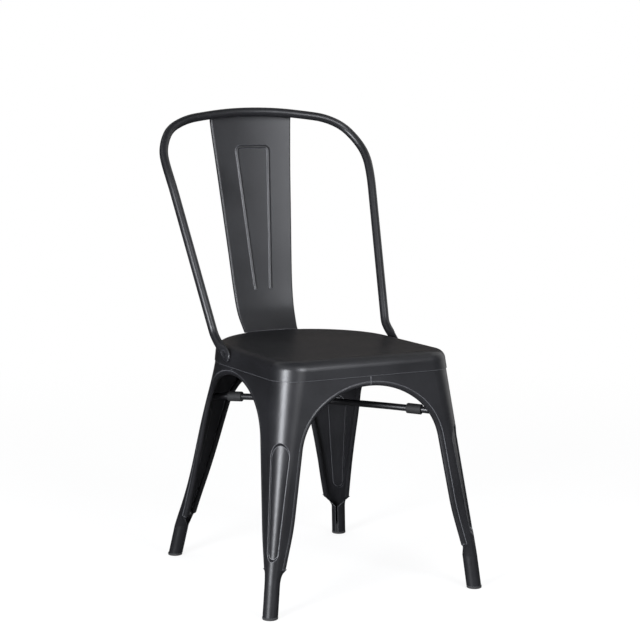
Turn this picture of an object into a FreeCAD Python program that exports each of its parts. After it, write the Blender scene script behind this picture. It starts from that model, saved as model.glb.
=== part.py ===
import FreeCAD, Part
import math
import os

Vector = FreeCAD.Vector

# Overall frame. Millimetres, +Z up, the seat's front edge faces -Y.
# X = 0 is the middle of the chair, so each left piece mirrors its right twin.

# Sheet of the seat and of the four pressed legs
seat_sheet = 1.4
leg_sheet = 1.6
seat_fit = 0.1
seam_gap = 0.4

# Seat pan. Plan sizes are read at the plate line, a little below its rim.
seat_rim = 431.0
plate_drop = 31.0
skirt_height = 33.0
seat_edge_radius = 18.0
seat_corner_spread = 0.06
rear_round_centre = 15.0
rear_round_lean = 0.034
dish_depth = 2.8
dish_edge_inset = 22.0
dish_floor_inset = 78.0
dish_corner = 22.0

# Leg corners, read at the plate line and leaning outward on the way down
front_half_width = 172.4
front_reach = 211.4
side_lean = 0.114
front_lean = 0.0805
front_corner_top = 45.0
leg_top_gap = 2.0
side_seam_y = -17.0

# Levels and reach that follow from the seat
plate_level = seat_rim - plate_drop
skirt_low = seat_rim - skirt_height
leg_top = seat_rim - seat_edge_radius - leg_top_gap
rear_reach = rear_round_centre + front_half_width

# Foot tubes, the lower leg sheet rolled round until a slit is left
foot_tube_radius = 13.3
foot_tube_top = 60.0
foot_tube_bottom = 4.0
wing_bottom = 84.0
slit_half_angle = 10.0

# Rear leg sections, height above the wing bottom, half width and reach past
# those of the seat, corner radius
rear_flare = [
    (0.0, 7.2, 38.0, 16.5),
    (46.0, 2.9, 29.4, 36.0),
    (116.0, -1.4, 16.6, 58.0),
]
# The same for its round shoulder, height above the plate line, half width and
# reach past those of the seat, and how far the corner radius falls short of the
# seat's half width
rear_shoulder = [
    (-100.0, -0.4, 8.1, 58.4),
    (0.0, 0.0, 0.0, 0.0),
    (25.0, -2.8, -2.0, 2.8),
]
rear_foot_spread = 6.7
rear_foot_reach = 43.5
rear_foot_lean_x = 0.14
rear_foot_lean_y = 0.22

# Rolled rim along each wing edge
rim_radius = 5.0
rim_depth = 5.15
rim_inset = 3.1

# Arches cut between the legs, at the line where the sheet meets the rim. A drop
# is read below the skirt's edge. A margin is what the crown radius falls short of
# the half width, or of the way from the side seam to the front or the rear.
front_arch_drop = 9.5
front_arch_margin = 7.4
front_shoulder_end = 80.4
front_flare_level = 172.0
front_flare_end = 74.4
side_arch_drop = 6.5
side_front_margin = 29.9
side_rear_margin = 39.9
side_shoulder_end = 74.9
side_flare_level = 150.0
side_flare_end = 70.2
side_rear_shoulder_end = 71.7
rear_arch_drop = 34.5
rear_arch_margin = 78.9
rear_arch_end = 74.9
crown_turn = 35.0
shoulder_step = 47.0
flare_radius = 420.0

# Brace rods and their bumpers
rod_radius = 6.0
rod_drop = 83.0
rod_bow = 6.2
rod_crossing_y = -4.0
bumper_radius = 9.3
bumper_length = 28.0
bumper_front_reach = 193.0
bumper_rear_reach = 159.0
bumper_fit = 0.1
bumper_edge = 1.5
rod_end_level = plate_level - rod_drop

# Pressed recess down each leg corner, from above the foot to below the rod end
recess_depth = 4.0
recess_rise = 14.0
recess_rod_gap = 21.0
recess_low_half = 9.5
recess_high_half = 17.0
recess_side_draft = 0.25
recess_end_draft = 2.2

# Foot plugs
plug_lip_overhang = 0.3
plug_edge_radius = 1.5
plug_stem_height = 18.0
plug_fit = 0.1

# Back hoop tube. A spot on its right half gives its inner side past the seat's
# half width, its back past the rear round's centre or the rear reach, and its
# height above the seat rim.
hoop_radius = 8.0
hoop_wall = 1.5
hoop_end = (-3.2, 20.0, 3.5)
hoop_end_way = (0.02, 0.84, 0.54)
hoop_side_low = (-1.6, 43.0, 27.0)
hoop_side_high = (26.3, -30.7, 264.0)
hoop_bends = [
    ((31.2, -6.8, 311.0), (0.06, 0.51, 0.86)),
    ((26.1, 20.0, 349.0), (-0.33, 0.56, 0.76)),
    ((-11.0, 47.6, 390.0), (-0.88, 0.20, 0.43)),
    ((-100.4, 64.5, 408.9), (-0.985, 0.12, 0.11)),
]
hoop_top_back = 70.6
hoop_top_rise = 413.0
# Flattened tube end, distance past the end spot, and how much wider and thinner
# than the tube on each side
pad_sections = [
    (0.0, 0.0, 0.0),
    (8.0, 1.2, 1.4),
    (18.0, 2.8, 3.4),
    (30.0, 3.4, 4.4),
    (38.0, 1.6, 4.8),
    (43.0, -4.0, 6.2),
]
pad_lean = 1.2
dimple_radius = 16.0
dimple_depth = 1.8
dimple_reach = 27.0

# Back splat, height above the seat rim, half width, and reach past the seat's
splat_sheet = 1.5
splat_sections = [
    (-1.5, 55.9, -18.0),
    (9.0, 57.0, -10.6),
    (21.0, 58.6, -3.0),
    (35.0, 59.9, 4.2),
    (51.0, 60.9, 9.8),
    (129.0, 65.5, 25.4),
    (219.0, 72.0, 40.4),
    (319.0, 79.2, 57.0),
    (381.0, 84.2, 66.6),
    (401.0, 85.6, 68.2),
    (415.0, 86.6, 65.4),
]
splat_hollow = 4.6
splat_lip = 6.0
splat_corner = 2.6

# Raised bead pressed into the splat, its low end and top corner as distance from
# the middle and height above the seat rim
bead_half_width = 3.3
bead_height = 1.45
bead_lift = 0.45
bead_low = (16.0, 75.6)
bead_high = (34.0, 346.0)
bead_corner = 9.0


def wire_of(points_and_arcs):
    edges = []
    for item in points_and_arcs:
        if len(item) == 2:
            edges.append(Part.makeLine(item[0], item[1]))
        else:
            edges.append(Part.Arc(item[0], item[1], item[2]).toShape())
    return Part.Wire(edges)


def mirrored(shape):
    return shape.mirror(Vector(0, 0, 0), Vector(1, 0, 0))


def block(x0, x1, y0, y1, z0, z1):
    return Part.makeBox(x1 - x0, y1 - y0, z1 - z0, Vector(x0, y0, z0))


def around(centre, radius, degrees):
    turn = math.radians(degrees)
    return centre + Vector(radius * math.cos(turn), radius * math.sin(turn), 0)


# Leg envelopes

def front_corner(level):
    drop = plate_level - level
    span = plate_level - foot_tube_top
    radius = front_corner_top - (front_corner_top - foot_tube_radius) * drop / span
    x = front_half_width + side_lean * drop
    y = front_reach + front_lean * drop
    return x, y, max(radius, foot_tube_radius)


def rear_foot_corner(level):
    x = front_half_width + rear_foot_spread - rear_foot_lean_x * level + foot_tube_radius
    y = rear_reach + rear_foot_reach - rear_foot_lean_y * level + foot_tube_radius
    return x, y


def rear_sections():
    # Level, half width, reach and corner radius
    rows = []
    for rise, wider, longer, radius in rear_flare:
        rows.append((wing_bottom + rise, front_half_width + wider, rear_reach + longer, radius))
    for rise, wider, longer, short in rear_shoulder:
        rows.append((plate_level + rise, front_half_width + wider, rear_reach + longer,
                     front_half_width - short))
    return rows


def envelope_wire(level, corner, facing, inset):
    x, y, radius = corner
    x = x - inset
    y = facing * (y - inset)
    radius = radius - inset
    x0 = -20.0
    y0 = side_seam_y - facing * 25.0
    centre = Vector(x - radius, y - facing * radius, level)
    side = Vector(x, centre.y, level)
    end = Vector(centre.x, y, level)
    middle = around(centre, radius, facing * 45.0)
    far = Vector(x0, y, level)
    back = Vector(x0, y0, level)
    near = Vector(x, y0, level)
    return wire_of([(near, side), (side, middle, end), (end, far), (far, back), (back, near)])


def front_envelope(inset):
    low = envelope_wire(wing_bottom, front_corner(wing_bottom), -1, inset)
    high = envelope_wire(leg_top, front_corner(leg_top), -1, inset)
    return Part.makeLoft([low, high], True, True)


def rear_envelope(inset):
    wires = []
    for level, x, y, radius in rear_sections():
        wires.append(envelope_wire(level, (x, y, radius), 1, inset))
    return Part.makeLoft(wires, True, False)


# Arches. Each is half of an opening, given as centre-line pieces that start
# at the crown. Every piece is (start, middle, end) in width and level.

def arch_half(crown, radius, turn, shoulder, shoulder_end, flare_level, flare_end, inset):
    pieces = []
    crown = crown - inset
    radius = radius - inset
    shoulder = shoulder - inset

    def on_circle(cx, cz, r, degrees):
        angle = math.radians(degrees)
        return (cx + r * math.sin(angle), cz + r * math.cos(angle))

    cx = 0.0
    cz = crown - radius
    first = on_circle(cx, cz, radius, turn)
    pieces.append((on_circle(cx, cz, radius, 0), on_circle(cx, cz, radius, turn / 2), first))
    if shoulder_end > turn:
        sx = first[0] - shoulder * math.sin(math.radians(turn))
        sz = first[1] - shoulder * math.cos(math.radians(turn))
        mid = on_circle(sx, sz, shoulder, (turn + shoulder_end) / 2)
        last = on_circle(sx, sz, shoulder, shoulder_end)
        pieces.append((first, mid, last))
    else:
        last = first
        shoulder_end = turn
    slope = 1.0 / math.tan(math.radians(shoulder_end))
    if flare_end < shoulder_end:
        level = flare_level
        start = (last[0] + slope * (last[1] - level), level)
        pieces.append((last, None, start))
        fx = start[0] + flare_radius * math.sin(math.radians(shoulder_end))
        fz = start[1] + flare_radius * math.cos(math.radians(shoulder_end))
        mid_turn = (shoulder_end + flare_end) / 2 + 180.0
        mid = on_circle(fx, fz, flare_radius, mid_turn)
        end = on_circle(fx, fz, flare_radius, flare_end + 180.0)
        pieces.append((start, mid, end))
        last = end
        slope = 1.0 / math.tan(math.radians(flare_end))
    level = wing_bottom
    pieces.append((last, None, (last[0] + slope * (last[1] - level), level)))
    return pieces


def front_arch(inset):
    radius = front_half_width - front_arch_margin
    return arch_half(skirt_low - front_arch_drop, radius, crown_turn, radius - shoulder_step,
                     front_shoulder_end, front_flare_level, front_flare_end, inset)


def side_arch_front(inset):
    radius = front_reach + side_seam_y - side_front_margin
    return arch_half(skirt_low - side_arch_drop, radius, crown_turn, radius - shoulder_step,
                     side_shoulder_end, side_flare_level, side_flare_end, inset)


def side_arch_rear(inset):
    radius = rear_reach - side_seam_y - side_rear_margin
    return arch_half(skirt_low - side_arch_drop, radius, crown_turn, radius - shoulder_step,
                     side_rear_shoulder_end, wing_bottom, side_rear_shoulder_end, inset)


def rear_arch(inset):
    radius = front_half_width - rear_arch_margin
    return arch_half(skirt_low - rear_arch_drop, radius, rear_arch_end, radius,
                     rear_arch_end, wing_bottom, rear_arch_end, inset)


def across_x(width, level):
    return Vector(width, 0, level)


def toward_front(width, level):
    return Vector(0, side_seam_y - width, level)


def toward_rear(width, level):
    return Vector(0, side_seam_y + width, level)


def arch_cutter(pieces, place, direction):
    # Solid of the half opening, pushed through one wing
    items = []
    for start, middle, end in pieces:
        if middle is None:
            items.append((place(*start), place(*end)))
        else:
            items.append((place(*start), place(*middle), place(*end)))
    top = place(*pieces[0][0])
    low = place(*pieces[-1][2])
    past = place(-30.0, pieces[0][0][1])
    corner = place(-30.0, wing_bottom - 10.0)
    foot = Vector(low.x, low.y, wing_bottom - 10.0)
    items.append((low, foot))
    items.append((foot, corner))
    items.append((corner, past))
    items.append((past, top))
    face = Part.Face(wire_of(items))
    return face.extrude(direction)


# Rims, swept along the arch line on a skin that lies rim_depth inside the leg

def skin_point(skin, spot, along):
    line = Part.makeLine(spot + along * 20.0, spot + along * 300.0)
    inside = skin.common(line)
    best = None
    for vertex in inside.Vertexes:
        reach = (vertex.Point - spot).dot(along)
        if best is None or reach > best:
            best = reach
    return spot + along * best


def piece_point(piece, share):
    # Point at a share of one arch piece, straight or round
    start, middle, end = piece
    if middle is None:
        return (start[0] + (end[0] - start[0]) * share, start[1] + (end[1] - start[1]) * share)
    a = Vector(start[0], start[1], 0)
    b = Vector(middle[0], middle[1], 0)
    c = Vector(end[0], end[1], 0)
    arc = Part.Arc(a, b, c)
    spot = arc.value(arc.FirstParameter + (arc.LastParameter - arc.FirstParameter) * share)
    if (arc.value(arc.FirstParameter) - a).Length > 0.01:
        spot = arc.value(arc.LastParameter - (arc.LastParameter - arc.FirstParameter) * share)
    return (spot.x, spot.y)


def rim_knots(pieces, place, skin, along, shares):
    knots = []
    for index, piece in enumerate(pieces):
        wanted = shares if piece[1] is not None else [0.0]
        if index == len(pieces) - 1:
            wanted = [0.0, 0.5, 1.0]
        for share in wanted:
            before = piece_point(piece, max(share - 0.02, 0.0))
            after = piece_point(piece, min(share + 0.02, 1.0))
            here = piece_point(piece, share)
            spot = skin_point(skin, place(*here), along)
            a = skin_point(skin, place(*before), along)
            b = skin_point(skin, place(*after), along)
            tangent = (b - a).normalize()
            knots.append((spot, tangent))
    return knots


def arc_from(start, tangent, end):
    # Arc that leaves start along tangent and ends at end
    chord = end - start
    normal = tangent.cross(chord)
    if normal.Length < 1e-4 * chord.Length:
        return Part.makeLine(start, end)
    side = normal.cross(tangent).normalize()
    along = chord.dot(tangent)
    across = chord.dot(side)
    radius = chord.dot(chord) / (2.0 * across)
    centre = start + side * radius
    middle_way = (start + end) * 0.5 - centre
    flip = 1.0 if along > 0 else -1.0
    middle = centre + middle_way.normalize() * radius * flip
    return Part.Arc(start, middle, end).toShape()


def smooth_path(knots):
    # Pairs of arcs that pass through every knot with its direction
    edges = []
    for first, second in zip(knots[:-1], knots[1:]):
        p0, t0 = first
        p1, t1 = second
        gap = p1 - p0
        bend = t0 + t1
        a = bend.dot(bend) - 4.0
        b = -2.0 * gap.dot(bend)
        c = gap.dot(gap)
        if abs(a) < 1e-7:
            reach = -c / b
        else:
            root = math.sqrt(b * b - 4.0 * a * c)
            reach = (-b - root) / (2.0 * a)
            if reach <= 0:
                reach = (-b + root) / (2.0 * a)
        joint = (p0 + t0 * reach + p1 - t1 * reach) * 0.5
        edges.append(arc_from(p0, t0, joint))
        turned = arc_from(p1, t1 * -1.0, joint)
        edges.append(turned)
    return Part.Wire(Part.__sortEdges__(edges))


def tube_along(knots, radius):
    path = smooth_path(knots)
    start, tangent = knots[0]
    ring = Part.Wire(Part.makeCircle(radius, start, tangent))
    return path.makePipeShell([ring], True, False)


def rim_along(pieces, place, skin, along, shares):
    knots = rim_knots(pieces, place, skin, along, shares)
    first, direction = knots[0]
    knots[0] = (first, Vector(round(direction.x), round(direction.y), 0))
    rod = tube_along(knots, rim_radius)
    end = Part.makeSphere(rim_radius, knots[-1][0])
    return rod.fuse(end)


# Corner recess, a tapered slot seen square to the leg's corner

def slot_wire(origin, up, side, out, reach, grow, low_len, high_len):
    low_half = recess_low_half + grow
    high_half = recess_high_half + grow

    def at(u, w):
        return origin + side * u + up * w + out * reach

    tilt = (high_half - low_half) / (high_len - low_len)
    bow = math.atan(tilt)

    def ring(centre, radius, degrees):
        angle = math.radians(degrees)
        return at(radius * math.cos(angle), centre + radius * math.sin(angle))

    shift = math.degrees(bow)
    low_c = low_len + low_half
    high_c = high_len - high_half
    a = ring(low_c, low_half, 180.0 - shift)
    b = ring(low_c, low_half, 270.0)
    c = ring(low_c, low_half, shift)
    d = ring(high_c, high_half, -shift)
    e = ring(high_c, high_half, 90.0)
    f = ring(high_c, high_half, 180.0 + shift)
    return wire_of([(a, b, c), (c, d), (d, e, f), (f, a)])


def recess_slot(low, high, facing, grow):
    # low and high are points on the leg corner at the ends of the recess
    up = (high - low).normalize()
    side = Vector(1, -facing, 0).normalize() * -facing
    out = side.cross(up)
    if out.dot(Vector(1, facing, 0)) < 0:
        out = out * -1.0
    length = (high - low).Length
    wires = []
    for reach in (9.0, -13.0):
        ends = recess_end_draft * reach * 0.5
        wires.append(slot_wire(low, up, side, out, reach, grow + recess_side_draft * reach * 0.5,
                               -ends - grow, length + ends + grow))
    return Part.makeLoft(wires, True, True)


def rear_corner(level):
    rows = rear_sections()
    for low, high in zip(rows[:-1], rows[1:]):
        if low[0] <= level <= high[0]:
            share = (level - low[0]) / (high[0] - low[0])
            return tuple(a + (b - a) * share for a, b in zip(low[1:], high[1:]))
    return rows[-1][1:]


def corner_point(skin, level, facing):
    x, y, radius = front_corner(level) if facing < 0 else rear_corner(level)
    spot = Vector(x - radius, facing * (y - radius), level)
    way = Vector(1, facing, 0).normalize()
    return skin_point(skin, spot - way * 20.0, way)


def wing_shell(envelope, facing):
    outer = envelope(0.0)
    low = corner_point(outer, wing_bottom + recess_rise, facing)
    high = corner_point(outer, rod_end_level - recess_rod_gap, facing)
    slot = recess_slot(low, high, facing, 0.0)
    wide = recess_slot(low, high, facing, leg_sheet)
    outer = outer.cut(slot.cut(envelope(recess_depth)))
    inner = envelope(leg_sheet)
    inner = inner.cut(wide.cut(envelope(recess_depth + leg_sheet)))
    return outer.cut(inner)


# Foot, the sheet below the wings rolled into a tube with a slit

def foot_wire(level, corner, facing, curl, across, along):
    # across and along are the sheet lengths past the corner on the two wings
    x, y, radius = corner
    y = facing * y
    t = leg_sheet
    centre = Vector(x - radius, y - facing * radius, level)
    side_start = Vector(x, centre.y, level)
    across_start = Vector(centre.x, y, level)
    corner_mid = around(centre, radius, facing * 45.0)
    corner_in = around(centre, radius - t, facing * 45.0)
    side_in = side_start - Vector(t, 0, 0)
    across_in = across_start - Vector(0, facing * t, 0)

    def side_at(length, depth):
        if curl is None:
            return side_start + Vector(-depth, -facing * length, 0)
        pivot = side_start - Vector(curl, 0, 0)
        return around(pivot, curl - depth, -facing * math.degrees(length / curl))

    def across_at(length, depth):
        if curl is None:
            return across_start + Vector(-length, -facing * depth, 0)
        pivot = across_start - Vector(0, facing * curl, 0)
        return around(pivot, curl - depth, facing * (90.0 + math.degrees(length / curl)))

    def strip(at, length, depth):
        if curl is None:
            return (at(0, depth), at(length, depth))
        return (at(0, depth), at(length / 2, depth), at(length, depth))

    def back(item):
        return tuple(reversed(item))

    items = [
        back(strip(side_at, along, 0)),
        (side_start, corner_mid, across_start),
        strip(across_at, across, 0),
        (across_at(across, 0), across_at(across, t)),
        back(strip(across_at, across, t)),
        (across_in, corner_in, side_in),
        strip(side_at, along, t),
        (side_at(along, t), side_at(along, 0)),
    ]
    return wire_of(items)


def foot_shell(top_corner, tube_corner, ground_corner, facing, across, along):
    sweep = math.radians(135.0 - slit_half_angle)
    roll = foot_tube_radius * sweep
    top = foot_wire(wing_bottom, top_corner, facing, None, across, along)
    tube = foot_wire(foot_tube_top, tube_corner, facing, foot_tube_radius, roll, roll)
    low = foot_wire(foot_tube_bottom, ground_corner, facing, foot_tube_radius, roll, roll)
    flare = Part.makeLoft([tube, top], True, True)
    pipe = Part.makeLoft([low, tube], True, True)
    return flare.fuse(pipe)


def join(pieces):
    solid = pieces[0]
    for piece in pieces[1:]:
        solid = solid.fuse(piece)
    return solid.removeSplitter()


def end_width(pieces):
    return pieces[-1][2][0]


def front_leg():
    wings = wing_shell(front_envelope, -1)
    span = 400.0
    wings = wings.cut(arch_cutter(front_arch(0.0), across_x, Vector(0, -span, 0)))
    wings = wings.cut(arch_cutter(side_arch_front(0.0), toward_front, Vector(span, 0, 0)))
    skin = front_envelope(rim_depth)
    front_rim = rim_along(front_arch(rim_inset), across_x, skin, Vector(0, -1, 0), [0.0])
    side_rim = rim_along(side_arch_front(rim_inset), toward_front, skin, Vector(1, 0, 0), [0.0])
    x, y, radius = front_corner(wing_bottom)
    free = rim_inset + rim_radius
    across = x - radius - end_width(front_arch(free))
    along = y - radius + side_seam_y - end_width(side_arch_front(free))
    foot = foot_shell((x, y, radius), front_corner(foot_tube_top),
                      front_corner(foot_tube_bottom), -1, across, along)
    leg = join([wings, front_rim, side_rim, foot])
    keep = block(seam_gap / 2, 300, -300, side_seam_y - seam_gap / 2, 0, leg_top)
    return leg.common(keep)


def rear_leg():
    wings = wing_shell(rear_envelope, 1)
    span = 400.0
    wings = wings.cut(arch_cutter(rear_arch(0.0), across_x, Vector(0, span, 0)))
    wings = wings.cut(arch_cutter(side_arch_rear(0.0), toward_rear, Vector(span, 0, 0)))
    skin = rear_envelope(rim_depth)
    rear_rim = rim_along(rear_arch(rim_inset), across_x, skin, Vector(0, 1, 0), [0.0, 0.5])
    side_rim = rim_along(side_arch_rear(rim_inset), toward_rear, skin, Vector(1, 0, 0), [0.0, 0.5])
    x, y, radius = rear_sections()[0][1:]
    free = rim_inset + rim_radius
    across = x - radius - end_width(rear_arch(free))
    along = y - radius - side_seam_y - end_width(side_arch_rear(free))
    tube = rear_foot_corner(foot_tube_top) + (foot_tube_radius,)
    ground = rear_foot_corner(foot_tube_bottom) + (foot_tube_radius,)
    foot = foot_shell((x, y, radius), tube, ground, 1, across, along)
    leg = join([wings, rear_rim, side_rim, foot])
    keep = block(seam_gap / 2, 300, side_seam_y + seam_gap / 2, 300, 0, leg_top)
    return leg.common(keep)


# Foot plugs

def foot_centre(level, facing):
    if facing < 0:
        x, y, radius = front_corner(level)
        return Vector(x - radius, radius - y, level)
    x, y = rear_foot_corner(level)
    return Vector(x - foot_tube_radius, y - foot_tube_radius, level)


def foot_plug(facing):
    base = foot_centre(0.0, facing)
    lip = Part.makeCylinder(foot_tube_radius + plug_lip_overhang, foot_tube_bottom, base)
    lip = lip.makeFillet(plug_edge_radius, [lip.Edges[2]])
    stem_radius = foot_tube_radius - leg_sheet - plug_fit
    low = foot_centre(foot_tube_bottom - 1.0, facing)
    high = foot_centre(foot_tube_bottom + plug_stem_height, facing)
    wires = []
    for spot in (low, high):
        wires.append(Part.Wire(Part.makeCircle(stem_radius, spot, Vector(0, 0, 1))))
    stem = Part.makeLoft(wires, True, True)
    return lip.fuse(stem)


# Seat pan

def seat_wire(level, inset, floor):
    rise = floor - plate_level
    grow = seat_sheet + seat_fit - inset
    half = front_half_width - side_lean * rise + grow
    front = -(front_reach - front_lean * rise + grow)
    radius = max(front_corner_top + seat_corner_spread * rise + grow, dish_corner)
    centre_y = rear_round_centre + rear_round_lean * rise
    right = Vector(half - radius, front + radius, level)
    left = Vector(radius - half, front + radius, level)
    return wire_of([
        (Vector(left.x, front, level), Vector(right.x, front, level)),
        (Vector(right.x, front, level), around(right, radius, -45.0), Vector(half, right.y, level)),
        (Vector(half, right.y, level), Vector(half, centre_y, level)),
        (Vector(half, centre_y, level), Vector(0, centre_y + half, level),
         Vector(-half, centre_y, level)),
        (Vector(-half, centre_y, level), Vector(-half, left.y, level)),
        (Vector(-half, left.y, level), around(left, radius, 225.0), Vector(left.x, front, level)),
    ])


def seat_block(inset, low, high, rounding):
    wires = [seat_wire(low, inset, low), seat_wire(high, inset, high)]
    solid = Part.makeLoft(wires, True, True)
    top = [edge for edge in solid.Edges if edge.BoundBox.ZMin > high - 0.01]
    return solid.makeFillet(rounding, top)


def dish(drop):
    wires = [seat_wire(seat_rim + 5.0, dish_edge_inset, seat_rim)]
    for share, depth in ((0.0, 0.0), (0.3, 0.55), (0.65, 0.87), (1.0, 1.0)):
        inset = dish_edge_inset + (dish_floor_inset - dish_edge_inset) * share
        wires.append(seat_wire(seat_rim - dish_depth * depth - drop, inset, seat_rim))
    return Part.makeLoft(wires, True, True)


def seat_outer():
    return seat_block(0.0, skirt_low, seat_rim, seat_edge_radius)


def seat_pan():
    outer = seat_outer()
    inner = seat_block(seat_sheet, skirt_low - 5.0, seat_rim - seat_sheet,
                       seat_edge_radius - seat_sheet)
    outer = outer.cut(dish(0.0))
    inner = inner.cut(dish(seat_sheet))
    return outer.cut(inner)


# Back hoop

def hoop_spot(spot, behind):
    past_side, past_back, rise = spot
    return Vector(front_half_width + hoop_radius + past_side, behind - hoop_radius + past_back,
                  seat_rim + rise)


def hoop_knots():
    # Right half, from the flattened end to the middle of the top bar
    end = hoop_spot(hoop_end, rear_round_centre)
    low = hoop_spot(hoop_side_low, rear_round_centre)
    high = hoop_spot(hoop_side_high, rear_reach)
    side = (high - low).normalize()
    knots = [(end, Vector(*hoop_end_way).normalize()), (low, side), (high, side)]
    for spot, way in hoop_bends:
        knots.append((hoop_spot(spot, rear_reach), Vector(*way).normalize()))
    middle = Vector(0, rear_reach - hoop_radius + hoop_top_back, seat_rim + hoop_top_rise)
    knots.append((middle, Vector(-1, 0, 0)))
    return knots


def hoop_tube():
    knots = hoop_knots()
    solid = tube_along(knots, hoop_radius)
    bore = tube_along(knots, hoop_radius - hoop_wall)
    return solid.cut(bore)


def hoop_pad():
    start, way = hoop_knots()[0]
    way = way * -1.0
    out = Vector(1, 0, side_lean).normalize()
    wide = way.cross(out).normalize()
    out = wide.cross(way).normalize()
    wires = []
    for reach, wider, thinner in pad_sections:
        half_width = hoop_radius + wider
        half_thick = hoop_radius - thinner
        lean = pad_lean * min(reach / dimple_reach, 1.0)
        spot = start + way * reach - out * lean
        tip = spot + wide * half_width
        face = spot + out * half_thick
        if half_width == half_thick:
            curve = Part.Circle(tip, face, spot - wide * half_width)
        else:
            curve = Part.Ellipse(tip, face, spot)
        wires.append(Part.Wire(curve.toShape()))
    pad = Part.makeLoft(wires, True, False)
    skin = pad_skin(dimple_reach)
    centre = start + way * dimple_reach + out * (skin - pad_lean + dimple_radius - dimple_depth)
    return pad.cut(Part.makeSphere(dimple_radius, centre))


def pad_skin(reach):
    # Half thickness of the flattened end at a distance along it
    for first, second in zip(pad_sections[:-1], pad_sections[1:]):
        if first[0] <= reach <= second[0]:
            share = (reach - first[0]) / (second[0] - first[0])
            return hoop_radius - first[2] - (second[2] - first[2]) * share
    return hoop_radius - pad_sections[-1][2]


def back_hoop():
    half = hoop_tube().fuse(hoop_pad())
    half = half.cut(seat_outer())
    return half.fuse(mirrored(half)).removeSplitter()


# Back splat

def splat_wire(rise, half, past_reach):
    level = seat_rim + rise
    rear = rear_reach + past_reach
    t = splat_sheet
    r = splat_corner
    sag = splat_hollow * (half / splat_sections[-1][1]) ** 2

    def at(x, y):
        return Vector(x, rear + y, level)

    quarter = math.sqrt(0.5)
    k = r * (1.0 - quarter)
    q = (r - t) * (1.0 - quarter) + t
    return wire_of([
        (at(-half + r, 0), at(0, sag), at(half - r, 0)),
        (at(half - r, 0), at(half - k, k), at(half, r)),
        (at(half, r), at(half, splat_lip)),
        (at(half, splat_lip), at(half - t, splat_lip)),
        (at(half - t, splat_lip), at(half - t, r)),
        (at(half - t, r), at(half - q, q), at(half - r, t)),
        (at(half - r, t), at(0, sag + t), at(-half + r, t)),
        (at(-half + r, t), at(-half + q, q), at(-half + t, r)),
        (at(-half + t, r), at(-half + t, splat_lip)),
        (at(-half + t, splat_lip), at(-half, splat_lip)),
        (at(-half, splat_lip), at(-half, r)),
        (at(-half, r), at(-half + k, k), at(-half + r, 0)),
    ])


def bead_knots(sheet, depth):
    # Right half of the bead, upward from its low end and across the top
    low = Vector(bead_low[0], 0, seat_rim + bead_low[1])
    top = Vector(bead_high[0], 0, seat_rim + bead_high[1])
    rise = (top - low).normalize()
    high = top - rise * bead_corner
    spots = [
        (low, rise),
        (low + (high - low) * 0.33, rise),
        (low + (high - low) * 0.67, rise),
        (high, rise),
        (top - Vector(bead_corner, 0, 0), Vector(-1, 0, 0)),
        (Vector(0, 0, top.z), Vector(-1, 0, 0)),
    ]
    back = Vector(0, -1, 0)
    behind = Vector(0, 400, 0)
    knots = []
    for spot, way in spots:
        here = skin_point(sheet, spot + behind, back)
        there = skin_point(sheet, spot + way * -2.0 + behind, back)
        above = skin_point(sheet, spot + way * 2.0 + behind, back)
        tangent = above - there
        if way.z == 0:
            tangent.y = 0
        knots.append((here + Vector(0, depth, 0), tangent.normalize()))
    return knots


def bead_ridge(sheet):
    # Oval rod along the bead line, its middle a little in front of the sheet
    knots = bead_knots(sheet, -bead_lift)
    start, tangent = knots[0]
    side = tangent.cross(Vector(0, -1, 0)).normalize()
    out = side.cross(tangent).normalize()
    oval = Part.Ellipse(start + side * bead_half_width, start + out * bead_height, start)
    half = smooth_path(knots).makePipeShell([Part.Wire(oval.toShape())], True, False)
    return half.fuse(mirrored(half))


def back_splat(hoop_skin):
    wires = [splat_wire(*section) for section in splat_sections]
    sheet = Part.makeLoft(wires, True, False)
    sheet = sheet.fuse(bead_ridge(sheet))
    return sheet.cut([seat_outer(), hoop_skin])


# Brace rods and bumpers

def rod_way():
    # Level direction from the crossing to the middle of a front leg's corner
    x, y, radius = front_corner(rod_end_level)
    shift = radius * (1.0 - math.sqrt(0.5))
    return Vector(x - shift, shift - y - rod_crossing_y, 0).normalize()


def rod_arc(flip):
    middle = Vector(0, rod_crossing_y, rod_end_level)
    way = rod_way()
    front = skin_point(front_envelope(-rod_radius / 2), middle, way)
    rear = skin_point(rear_envelope(-rod_radius / 2), middle, Vector(way.x, -way.y, 0))
    rear.x = -rear.x
    bow = rod_bow
    if flip:
        front.x = -front.x
        rear.x = -rear.x
        bow = -rod_bow
    return Part.Arc(front, middle + Vector(0, 0, bow), rear)


def rod_solid(arc, radius):
    start = arc.value(arc.FirstParameter)
    tangent = arc.tangent(arc.FirstParameter)[0]
    ring = Part.Wire(Part.makeCircle(radius, start, tangent))
    return Part.Wire([arc.toShape()]).makePipeShell([ring], True, False)


def bumper(arc, reach):
    # reach is the signed distance from the crossing, positive toward the front
    run = rod_way() * reach
    sign = 1.0 if arc.StartPoint.x > 0 else -1.0
    spot = Vector(sign * run.x, rod_crossing_y + run.y, rod_end_level)
    place = arc.parameter(spot)
    centre = arc.value(place)
    way = arc.tangent(place)[0]
    sleeve = Part.makeCylinder(bumper_radius, bumper_length, centre - way * bumper_length / 2, way)
    rims = [edge for edge in sleeve.Edges if len(edge.Vertexes) == 1]
    return sleeve.makeFillet(bumper_edge, rims).cut(rod_solid(arc, rod_radius + bumper_fit))


# Assembly

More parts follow.
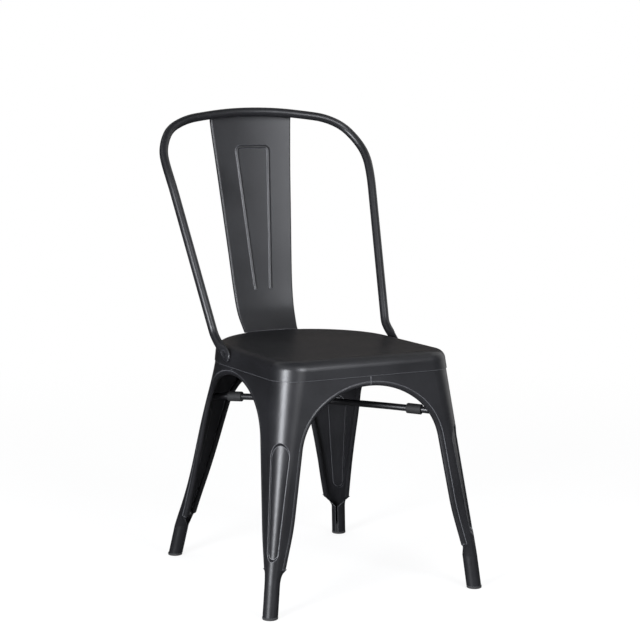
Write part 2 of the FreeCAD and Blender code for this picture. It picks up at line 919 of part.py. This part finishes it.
def build():
    shapes = {}
    right_front = front_leg()
    right_rear = rear_leg()
    shapes["front_right_leg"] = right_front
    shapes["front_left_leg"] = mirrored(right_front)
    shapes["rear_right_leg"] = right_rear
    shapes["rear_left_leg"] = mirrored(right_rear)
    front_foot = foot_plug(-1)
    rear_foot = foot_plug(1)
    shapes["front_right_foot"] = front_foot
    shapes["front_left_foot"] = mirrored(front_foot)
    shapes["rear_right_foot"] = rear_foot
    shapes["rear_left_foot"] = mirrored(rear_foot)
    shapes["seat_pan"] = seat_pan()
    hoop = back_hoop()
    shapes["back_hoop"] = hoop
    shapes["back_splat"] = back_splat(hoop)
    for front_side, rear_side, flip in (("right", "left", False), ("left", "right", True)):
        arc = rod_arc(flip)
        rod = rod_solid(arc, rod_radius)
        for leg in ("front_" + front_side + "_leg", "rear_" + rear_side + "_leg"):
            pieces = rod.cut(shapes[leg]).Solids
            rod = max(pieces, key=lambda piece: piece.Volume)
        shapes["brace_rod_" + front_side] = rod
        shapes["bumper_front_" + front_side] = bumper(arc, bumper_front_reach)
        shapes["bumper_rear_" + rear_side] = bumper(arc, -bumper_rear_reach)
    return shapes


def write(shapes):
    os.makedirs("parts", exist_ok=True)
    box = FreeCAD.BoundBox()
    for shape in shapes.values():
        box.add(shape.optimalBoundingBox(False, False))
    shift = Vector(0, -box.Center.y, -box.ZMin)
    for name, shape in shapes.items():
        moved = shape.copy()
        moved.translate(shift)
        moved.exportStep("parts/" + name + ".step")
        print(name, moved.isValid(), len(moved.Solids), round(moved.Volume), moved.BoundBox)
    print("shift", shift)


write(build())
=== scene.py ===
import math

import bpy
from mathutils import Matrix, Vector

MM = 0.001

# Camera: place in metres, angles in degrees, lens and sensor in millimetres
CAMERA_PLACE = Vector((-1.5161, -2.8831, 0.9053))
CAMERA_HEADING = 28.02
CAMERA_DIP = 7.62
CAMERA_LENS = 101.17
CAMERA_SENSOR_WIDTH = 36.0

# Black powder coat, in linear colour
COAT_COLOUR = (0.0072, 0.0073, 0.0083)
COAT_LIGHT = (0.0115, 0.0117, 0.0134)
COAT_ROUGHNESS = 0.36
COAT_ROUGHNESS_SPREAD = 0.07
COAT_PEEL_SIZE = 1.4 * MM
COAT_PEEL_HEIGHT = 0.02 * MM

# Painted highlight along the coat's edges, which start and end at a cosine between true and
# rounded normal
COAT_EDGE_HIGHLIGHT = (0.090, 0.092, 0.100)
COAT_EDGE_RADIUS = 1.8 * MM
COAT_EDGE_START = 0.995
COAT_EDGE_END = 0.90
BEVEL_SAMPLES = 6

# Black rubber, in linear colour
RUBBER_COLOUR = (0.0085, 0.0085, 0.0090)
RUBBER_LIGHT = (0.0180, 0.0180, 0.0185)
RUBBER_ROUGHNESS = 0.72
RUBBER_ROUGHNESS_SPREAD = 0.10
RUBBER_GRAIN_SIZE = 0.8 * MM
RUBBER_GRAIN_HEIGHT = 0.05 * MM

# Clouds and specks in both finishes, and the band of their sum that goes dark to light
CLOUD_SIZE = 90 * MM
CLOUD_DETAIL = 4.0
SPECK_SIZE = 3.5 * MM
SPECK_DETAIL = 2.0
SPECK_SHARE = 0.35
SHADE_LOW = 0.45
SHADE_HIGH = 0.90
SHADE_MIDDLE = 0.5
PEEL_DETAIL = 3.0

COATED_NODES = (
    "seat_pan",
    "front_left_leg",
    "front_right_leg",
    "rear_left_leg",
    "rear_right_leg",
    "back_hoop",
    "back_splat",
    "brace_rod_left",
    "brace_rod_right",
)
RUBBER_NODES = (
    "bumper_front_left",
    "bumper_front_right",
    "bumper_rear_left",
    "bumper_rear_right",
    "front_left_foot",
    "front_right_foot",
    "rear_left_foot",
    "rear_right_foot",
)

# Floor, in metres: plain white takes a share near the chair and all of it further out
FLOOR_REACH = 6.0
FLOOR_DROP = 0.0004
FLOOR_COLOUR = (0.93, 0.93, 0.93)
FLOOR_ROUGHNESS = 0.9
FLOOR_WHITE_NEAR = 0.80
FLOOR_FADE_START = 0.5
FLOOR_FADE_END = 2.6

# Strength of the white surroundings where they light the chair but aren't seen
WORLD_LEVEL = 0.80

# Lamps: name, place, target, width and height in metres, power in watts
LAMPS = (
    ("left_strip", (-2.2, -1.30, 0.7), (0.0, 0.0, 0.35), 0.75, 1.4, 100.0),
    ("front_box", (0.20, -1.95, 1.25), (0.0, 0.0, 0.5), 0.9, 0.7, 30.0),
)
LAMP_COLOUR = (0.93, 0.95, 1.0)

# Flags, in metres: dark cloths that only reflections see
FLAG_BLACK = (0.012, 0.012, 0.012)
FLAG_GREY = (0.085, 0.078, 0.075)
FLAG_REACH = 2.6
FLAG_HEIGHT = 2.8
FLAG_STEPS = 12
FLAG_FLOOR_LIFT = 0.004
FLAG_OVERHEAD_REACH = 1.6

# Upright flags: name, first and last heading in degrees right of the front, colour
FLAG_HEADINGS = (
    ("flag_front_right", 8.0, 75.0, FLAG_BLACK),
    ("flag_back_right", 115.0, 178.0, FLAG_GREY),
    ("flag_back_left", 178.0, 265.0, FLAG_BLACK),
    ("flag_left", 265.0, 352.0, FLAG_BLACK),
)


# Shader helpers

def feed(tree, value, entry):
    """Gives a node's input the value of a socket, or a plain value."""
    if isinstance(value, bpy.types.NodeSocket):
        tree.links.new(value, entry)
    else:
        entry.default_value = value


def add_sockets(group, in_out, *sockets):
    for name, kind in sockets:
        group.interface.new_socket(name=name, in_out=in_out, socket_type=kind)


def noise(tree, coordinates, size, detail):
    node = tree.nodes.new("ShaderNodeTexNoise")
    node.inputs["Scale"].default_value = 1.0 / size
    node.inputs["Detail"].default_value = detail
    feed(tree, coordinates, node.inputs["Vector"])
    return node.outputs["Fac"]


def calculate(tree, operation, *values):
    node = tree.nodes.new("ShaderNodeMath")
    node.operation = operation
    for entry, value in zip(node.inputs, values):
        feed(tree, value, entry)
    return node.outputs[0]


def map_range(tree, value, interpolation="LINEAR", **limits):
    """Maps a value between limits that are named after the node's inputs."""
    node = tree.nodes.new("ShaderNodeMapRange")
    node.interpolation_type = interpolation
    feed(tree, value, node.inputs["Value"])
    for name, limit in limits.items():
        feed(tree, limit, node.inputs[name.replace("_", " ").title()])
    return node.outputs["Result"]


def mix_colours(tree, factor, first, second):
    node = tree.nodes.new("ShaderNodeMix")
    node.data_type = "RGBA"
    feed(tree, factor, node.inputs["Factor"])
    feed(tree, first, node.inputs["A"])
    feed(tree, second, node.inputs["B"])
    return node.outputs["Result"]


# Finishes

def build_sprayed_surface_group():
    """Cloudy colour and cloudy roughness, for anything sprayed or moulded."""
    group = bpy.data.node_groups.new("sprayed_surface", "ShaderNodeTree")
    add_sockets(
        group,
        "INPUT",
        ("Vector", "NodeSocketVector"),
        ("Dark", "NodeSocketColor"),
        ("Light", "NodeSocketColor"),
        ("Roughness", "NodeSocketFloat"),
        ("Spread", "NodeSocketFloat"),
    )
    add_sockets(
        group,
        "OUTPUT",
        ("Colour", "NodeSocketColor"),
        ("Roughness", "NodeSocketFloat"),
    )
    given = group.nodes.new("NodeGroupInput").outputs
    result = group.nodes.new("NodeGroupOutput").inputs

    cloud = noise(group, given["Vector"], CLOUD_SIZE, CLOUD_DETAIL)
    speck = noise(group, given["Vector"], SPECK_SIZE, SPECK_DETAIL)
    both = calculate(group, "MULTIPLY_ADD", speck, SPECK_SHARE, cloud)
    shade = map_range(group, both, from_min=SHADE_LOW, from_max=SHADE_HIGH)
    feed(group, mix_colours(group, shade, given["Dark"], given["Light"]), result["Colour"])

    centred = calculate(group, "SUBTRACT", shade, SHADE_MIDDLE)
    rough = calculate(group, "MULTIPLY_ADD", centred, given["Spread"], given["Roughness"])
    feed(group, rough, result["Roughness"])
    return group


def build_soft_edges_group():
    """Normals that round over every edge, and a mask of the edges so rounded."""
    group = bpy.data.node_groups.new("soft_edges", "ShaderNodeTree")
    add_sockets(
        group,
        "INPUT",
        ("Radius", "NodeSocketFloat"),
        ("Start", "NodeSocketFloat"),
        ("End", "NodeSocketFloat"),
    )
    add_sockets(group, "OUTPUT", ("Normal", "NodeSocketVector"), ("Edge", "NodeSocketFloat"))
    given = group.nodes.new("NodeGroupInput").outputs
    result = group.nodes.new("NodeGroupOutput").inputs

    rounded = group.nodes.new("ShaderNodeBevel")
    rounded.samples = BEVEL_SAMPLES
    feed(group, given["Radius"], rounded.inputs["Radius"])
    feed(group, rounded.outputs["Normal"], result["Normal"])

    shape = group.nodes.new("ShaderNodeNewGeometry")
    lean = group.nodes.new("ShaderNodeVectorMath")
    lean.operation = "DOT_PRODUCT"
    feed(group, rounded.outputs["Normal"], lean.inputs[0])
    feed(group, shape.outputs["Normal"], lean.inputs[1])
    edge = map_range(group, lean.outputs["Value"], from_min=given["Start"],
                     from_max=given["End"])
    feed(group, edge, result["Edge"])
    return group


def soften_and_highlight_edges(material, group, radius, colour, start, end):
    """Rounds the material's edges and paints a highlight colour over them."""
    tree = material.node_tree
    shader = tree.nodes["Principled BSDF"]
    under = shader.inputs["Base Color"].links[0].from_socket
    bump = shader.inputs["Normal"].links[0].from_node
    edges = tree.nodes.new("ShaderNodeGroup")
    edges.node_tree = group
    edges.inputs["Radius"].default_value = radius
    edges.inputs["Start"].default_value = start
    edges.inputs["End"].default_value = end
    feed(tree, edges.outputs["Normal"], bump.inputs["Normal"])
    # Painted highlight: the edge mask lays a light colour over the base colour
    highlighted = mix_colours(tree, edges.outputs["Edge"], under, (*colour, 1.0))
    feed(tree, highlighted, shader.inputs["Base Color"])


def sprayed_material(name, group, dark, light, roughness, spread, grain, height):
    """Sprayed or moulded finish with a fine relief of the given grain and height."""
    material = bpy.data.materials.new(name)
    material.use_nodes = True
    tree = material.node_tree
    shader = tree.nodes["Principled BSDF"]
    place = tree.nodes.new("ShaderNodeTexCoord").outputs["Object"]

    surface = tree.nodes.new("ShaderNodeGroup")
    surface.node_tree = group
    surface.inputs["Dark"].default_value = (*dark, 1.0)
    surface.inputs["Light"].default_value = (*light, 1.0)
    surface.inputs["Roughness"].default_value = roughness
    surface.inputs["Spread"].default_value = spread
    feed(tree, place, surface.inputs["Vector"])
    feed(tree, surface.outputs["Colour"], shader.inputs["Base Color"])
    feed(tree, surface.outputs["Roughness"], shader.inputs["Roughness"])

    bump = tree.nodes.new("ShaderNodeBump")
    bump.inputs["Distance"].default_value = height
    feed(tree, noise(tree, place, grain, PEEL_DETAIL), bump.inputs["Height"])
    feed(tree, bump.outputs["Normal"], shader.inputs["Normal"])
    return material


def dress(node, material):
    if not node.material_slots:
        node.data.materials.append(material)
    for place in node.material_slots:
        place.material = material


# Floor and background

def square(reach, level):
    """Points and face of a level square round the chair."""
    corners = [(-reach, -reach), (reach, -reach), (reach, reach), (-reach, reach)]
    return [(x, y, level) for x, y in corners], [(0, 1, 2, 3)]


def mesh_object(name, points, faces, material):
    mesh = bpy.data.meshes.new(name)
    mesh.from_pydata(points, [], faces)
    mesh.materials.append(material)
    thing = bpy.data.objects.new(name, mesh)
    bpy.context.scene.collection.objects.link(thing)
    return thing


def matt_material(name, colour, roughness):
    material = bpy.data.materials.new(name)
    material.use_nodes = True
    shader = material.node_tree.nodes["Principled BSDF"]
    shader.inputs["Base Color"].default_value = (*colour, 1.0)
    shader.inputs["Roughness"].default_value = roughness
    shader.inputs["Specular IOR Level"].default_value = 0.0
    return material


def background_rays(tree):
    """1 for the rays that show the background: camera, glossy and transmission ones."""
    path = tree.nodes.new("ShaderNodeLightPath")
    shown = path.outputs["Is Camera Ray"]
    for kind in ("Is Glossy Ray", "Is Transmission Ray"):
        shown = calculate(tree, "MAXIMUM", shown, path.outputs[kind])
    return shown


def floor_material():
    """Pale floor that goes over to the white of the background away from the chair."""
    material = matt_material("pale_floor", FLOOR_COLOUR, FLOOR_ROUGHNESS)
    tree = material.node_tree
    white = tree.nodes.new("ShaderNodeEmission")
    white.inputs["Strength"].default_value = 1.0

    place = tree.nodes.new("ShaderNodeTexCoord")
    distance = tree.nodes.new("ShaderNodeVectorMath")
    distance.operation = "LENGTH"
    feed(tree, place.outputs["Object"], distance.inputs[0])
    fade = map_range(tree, distance.outputs["Value"], "SMOOTHSTEP",
                     from_min=FLOOR_FADE_START, from_max=FLOOR_FADE_END,
                     to_min=FLOOR_WHITE_NEAR, to_max=1.0)
    share = calculate(tree, "MULTIPLY", fade, background_rays(tree))

    mix = tree.nodes.new("ShaderNodeMixShader")
    feed(tree, share, mix.inputs["Fac"])
    feed(tree, tree.nodes["Principled BSDF"].outputs["BSDF"], mix.inputs[1])
    feed(tree, white.outputs["Emission"], mix.inputs[2])
    feed(tree, mix.outputs["Shader"], tree.nodes["Material Output"].inputs["Surface"])
    return material


def build_floor():
    floor = mesh_object("floor", *square(FLOOR_REACH, -FLOOR_DROP), floor_material())


def build_world():
    world = bpy.data.worlds.new("studio")
    bpy.context.scene.world = world
    world.use_nodes = True
    tree = world.node_tree
    back = tree.nodes["Background"]
    back.inputs["Color"].default_value = (1.0, 1.0, 1.0, 1.0)
    level = map_range(tree, background_rays(tree), to_min=WORLD_LEVEL, to_max=1.0)
    feed(tree, level, back.inputs["Strength"])


# Lamps, flags and camera

def aim(thing, way):
    """Turns a lamp or a camera to look along a direction."""
    thing.rotation_mode = "QUATERNION"
    thing.rotation_quaternion = way.to_track_quat("-Z", "Y")


def softbox(name, place, target, width, height, power):
    lamp = bpy.data.lights.new(name, "AREA")
    lamp.shape = "RECTANGLE"
    lamp.size = width
    lamp.size_y = height
    lamp.energy = power
    lamp.color = LAMP_COLOUR
    box = bpy.data.objects.new(name, lamp)
    bpy.context.scene.collection.objects.link(box)
    box.location = place
    aim(box, Vector(target) - box.location)


def hang_flag(name, points, faces, material):
    """Cloth that only reflections see, as a studio sets round a dark object."""
    flag = mesh_object(name, points, faces, material)
    flag.visible_camera = False
    flag.visible_diffuse = False
    flag.visible_shadow = False


def upright_flag(name, start, end, material):
    """Curved flag round the chair between two headings."""
    points = []
    for step in range(FLAG_STEPS + 1):
        turn = math.radians(start + (end - start) * step / FLAG_STEPS)
        x = FLAG_REACH * math.sin(turn)
        y = -FLAG_REACH * math.cos(turn)
        points += [(x, y, 0.0), (x, y, FLAG_HEIGHT)]
    faces = [(2 * k, 2 * k + 1, 2 * k + 3, 2 * k + 2) for k in range(FLAG_STEPS)]
    hang_flag(name, points, faces, material)


def build_lamps():
    for lamp in LAMPS:
        softbox(*lamp)


def build_flags():
    for name, start, end, colour in FLAG_HEADINGS:
        upright_flag(name, start, end, matt_material(name, colour, 1.0))
    cloth = matt_material("black_flag_cloth", FLAG_BLACK, 1.0)
    hang_flag("flag_on_floor", *square(FLAG_REACH, FLAG_FLOOR_LIFT), cloth)
    hang_flag("flag_overhead", *square(FLAG_OVERHEAD_REACH, FLAG_HEIGHT), cloth)


def build_camera():
    data = bpy.data.cameras.new("camera")
    data.sensor_fit = "HORIZONTAL"
    data.sensor_width = CAMERA_SENSOR_WIDTH
    data.lens = CAMERA_LENS
    camera = bpy.data.objects.new("camera", data)
    bpy.context.scene.collection.objects.link(camera)
    camera.location = CAMERA_PLACE
    heading = math.radians(CAMERA_HEADING)
    dip = math.radians(CAMERA_DIP)
    level = Vector((math.sin(heading), math.cos(heading), 0.0)) * math.cos(dip)
    aim(camera, level - Vector((0.0, 0.0, math.sin(dip))))
    bpy.context.scene.camera = camera


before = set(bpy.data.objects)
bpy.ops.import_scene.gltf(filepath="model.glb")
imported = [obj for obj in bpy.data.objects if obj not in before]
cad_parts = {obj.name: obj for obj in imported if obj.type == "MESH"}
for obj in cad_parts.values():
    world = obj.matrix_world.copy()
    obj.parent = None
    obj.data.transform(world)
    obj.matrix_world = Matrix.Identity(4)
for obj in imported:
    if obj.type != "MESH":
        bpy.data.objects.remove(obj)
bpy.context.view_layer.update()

sprayed = build_sprayed_surface_group()
powder_coat = sprayed_material("black_powder_coat", sprayed, COAT_COLOUR, COAT_LIGHT,
                               COAT_ROUGHNESS, COAT_ROUGHNESS_SPREAD, COAT_PEEL_SIZE,
                               COAT_PEEL_HEIGHT)
rubber = sprayed_material("black_rubber", sprayed, RUBBER_COLOUR, RUBBER_LIGHT,
                          RUBBER_ROUGHNESS, RUBBER_ROUGHNESS_SPREAD, RUBBER_GRAIN_SIZE,
                          RUBBER_GRAIN_HEIGHT)
# Rounded edges on the coat, with a painted highlight along them
soften_and_highlight_edges(powder_coat, build_soft_edges_group(), COAT_EDGE_RADIUS, COAT_EDGE_HIGHLIGHT,
             COAT_EDGE_START, COAT_EDGE_END)
for name in COATED_NODES:
    dress(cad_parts[name], powder_coat)
for name in RUBBER_NODES:
    dress(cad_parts[name], rubber)

build_floor()
build_world()
build_lamps()
build_flags()
build_camera()
bpy.context.scene.view_settings.view_transform = "Standard"
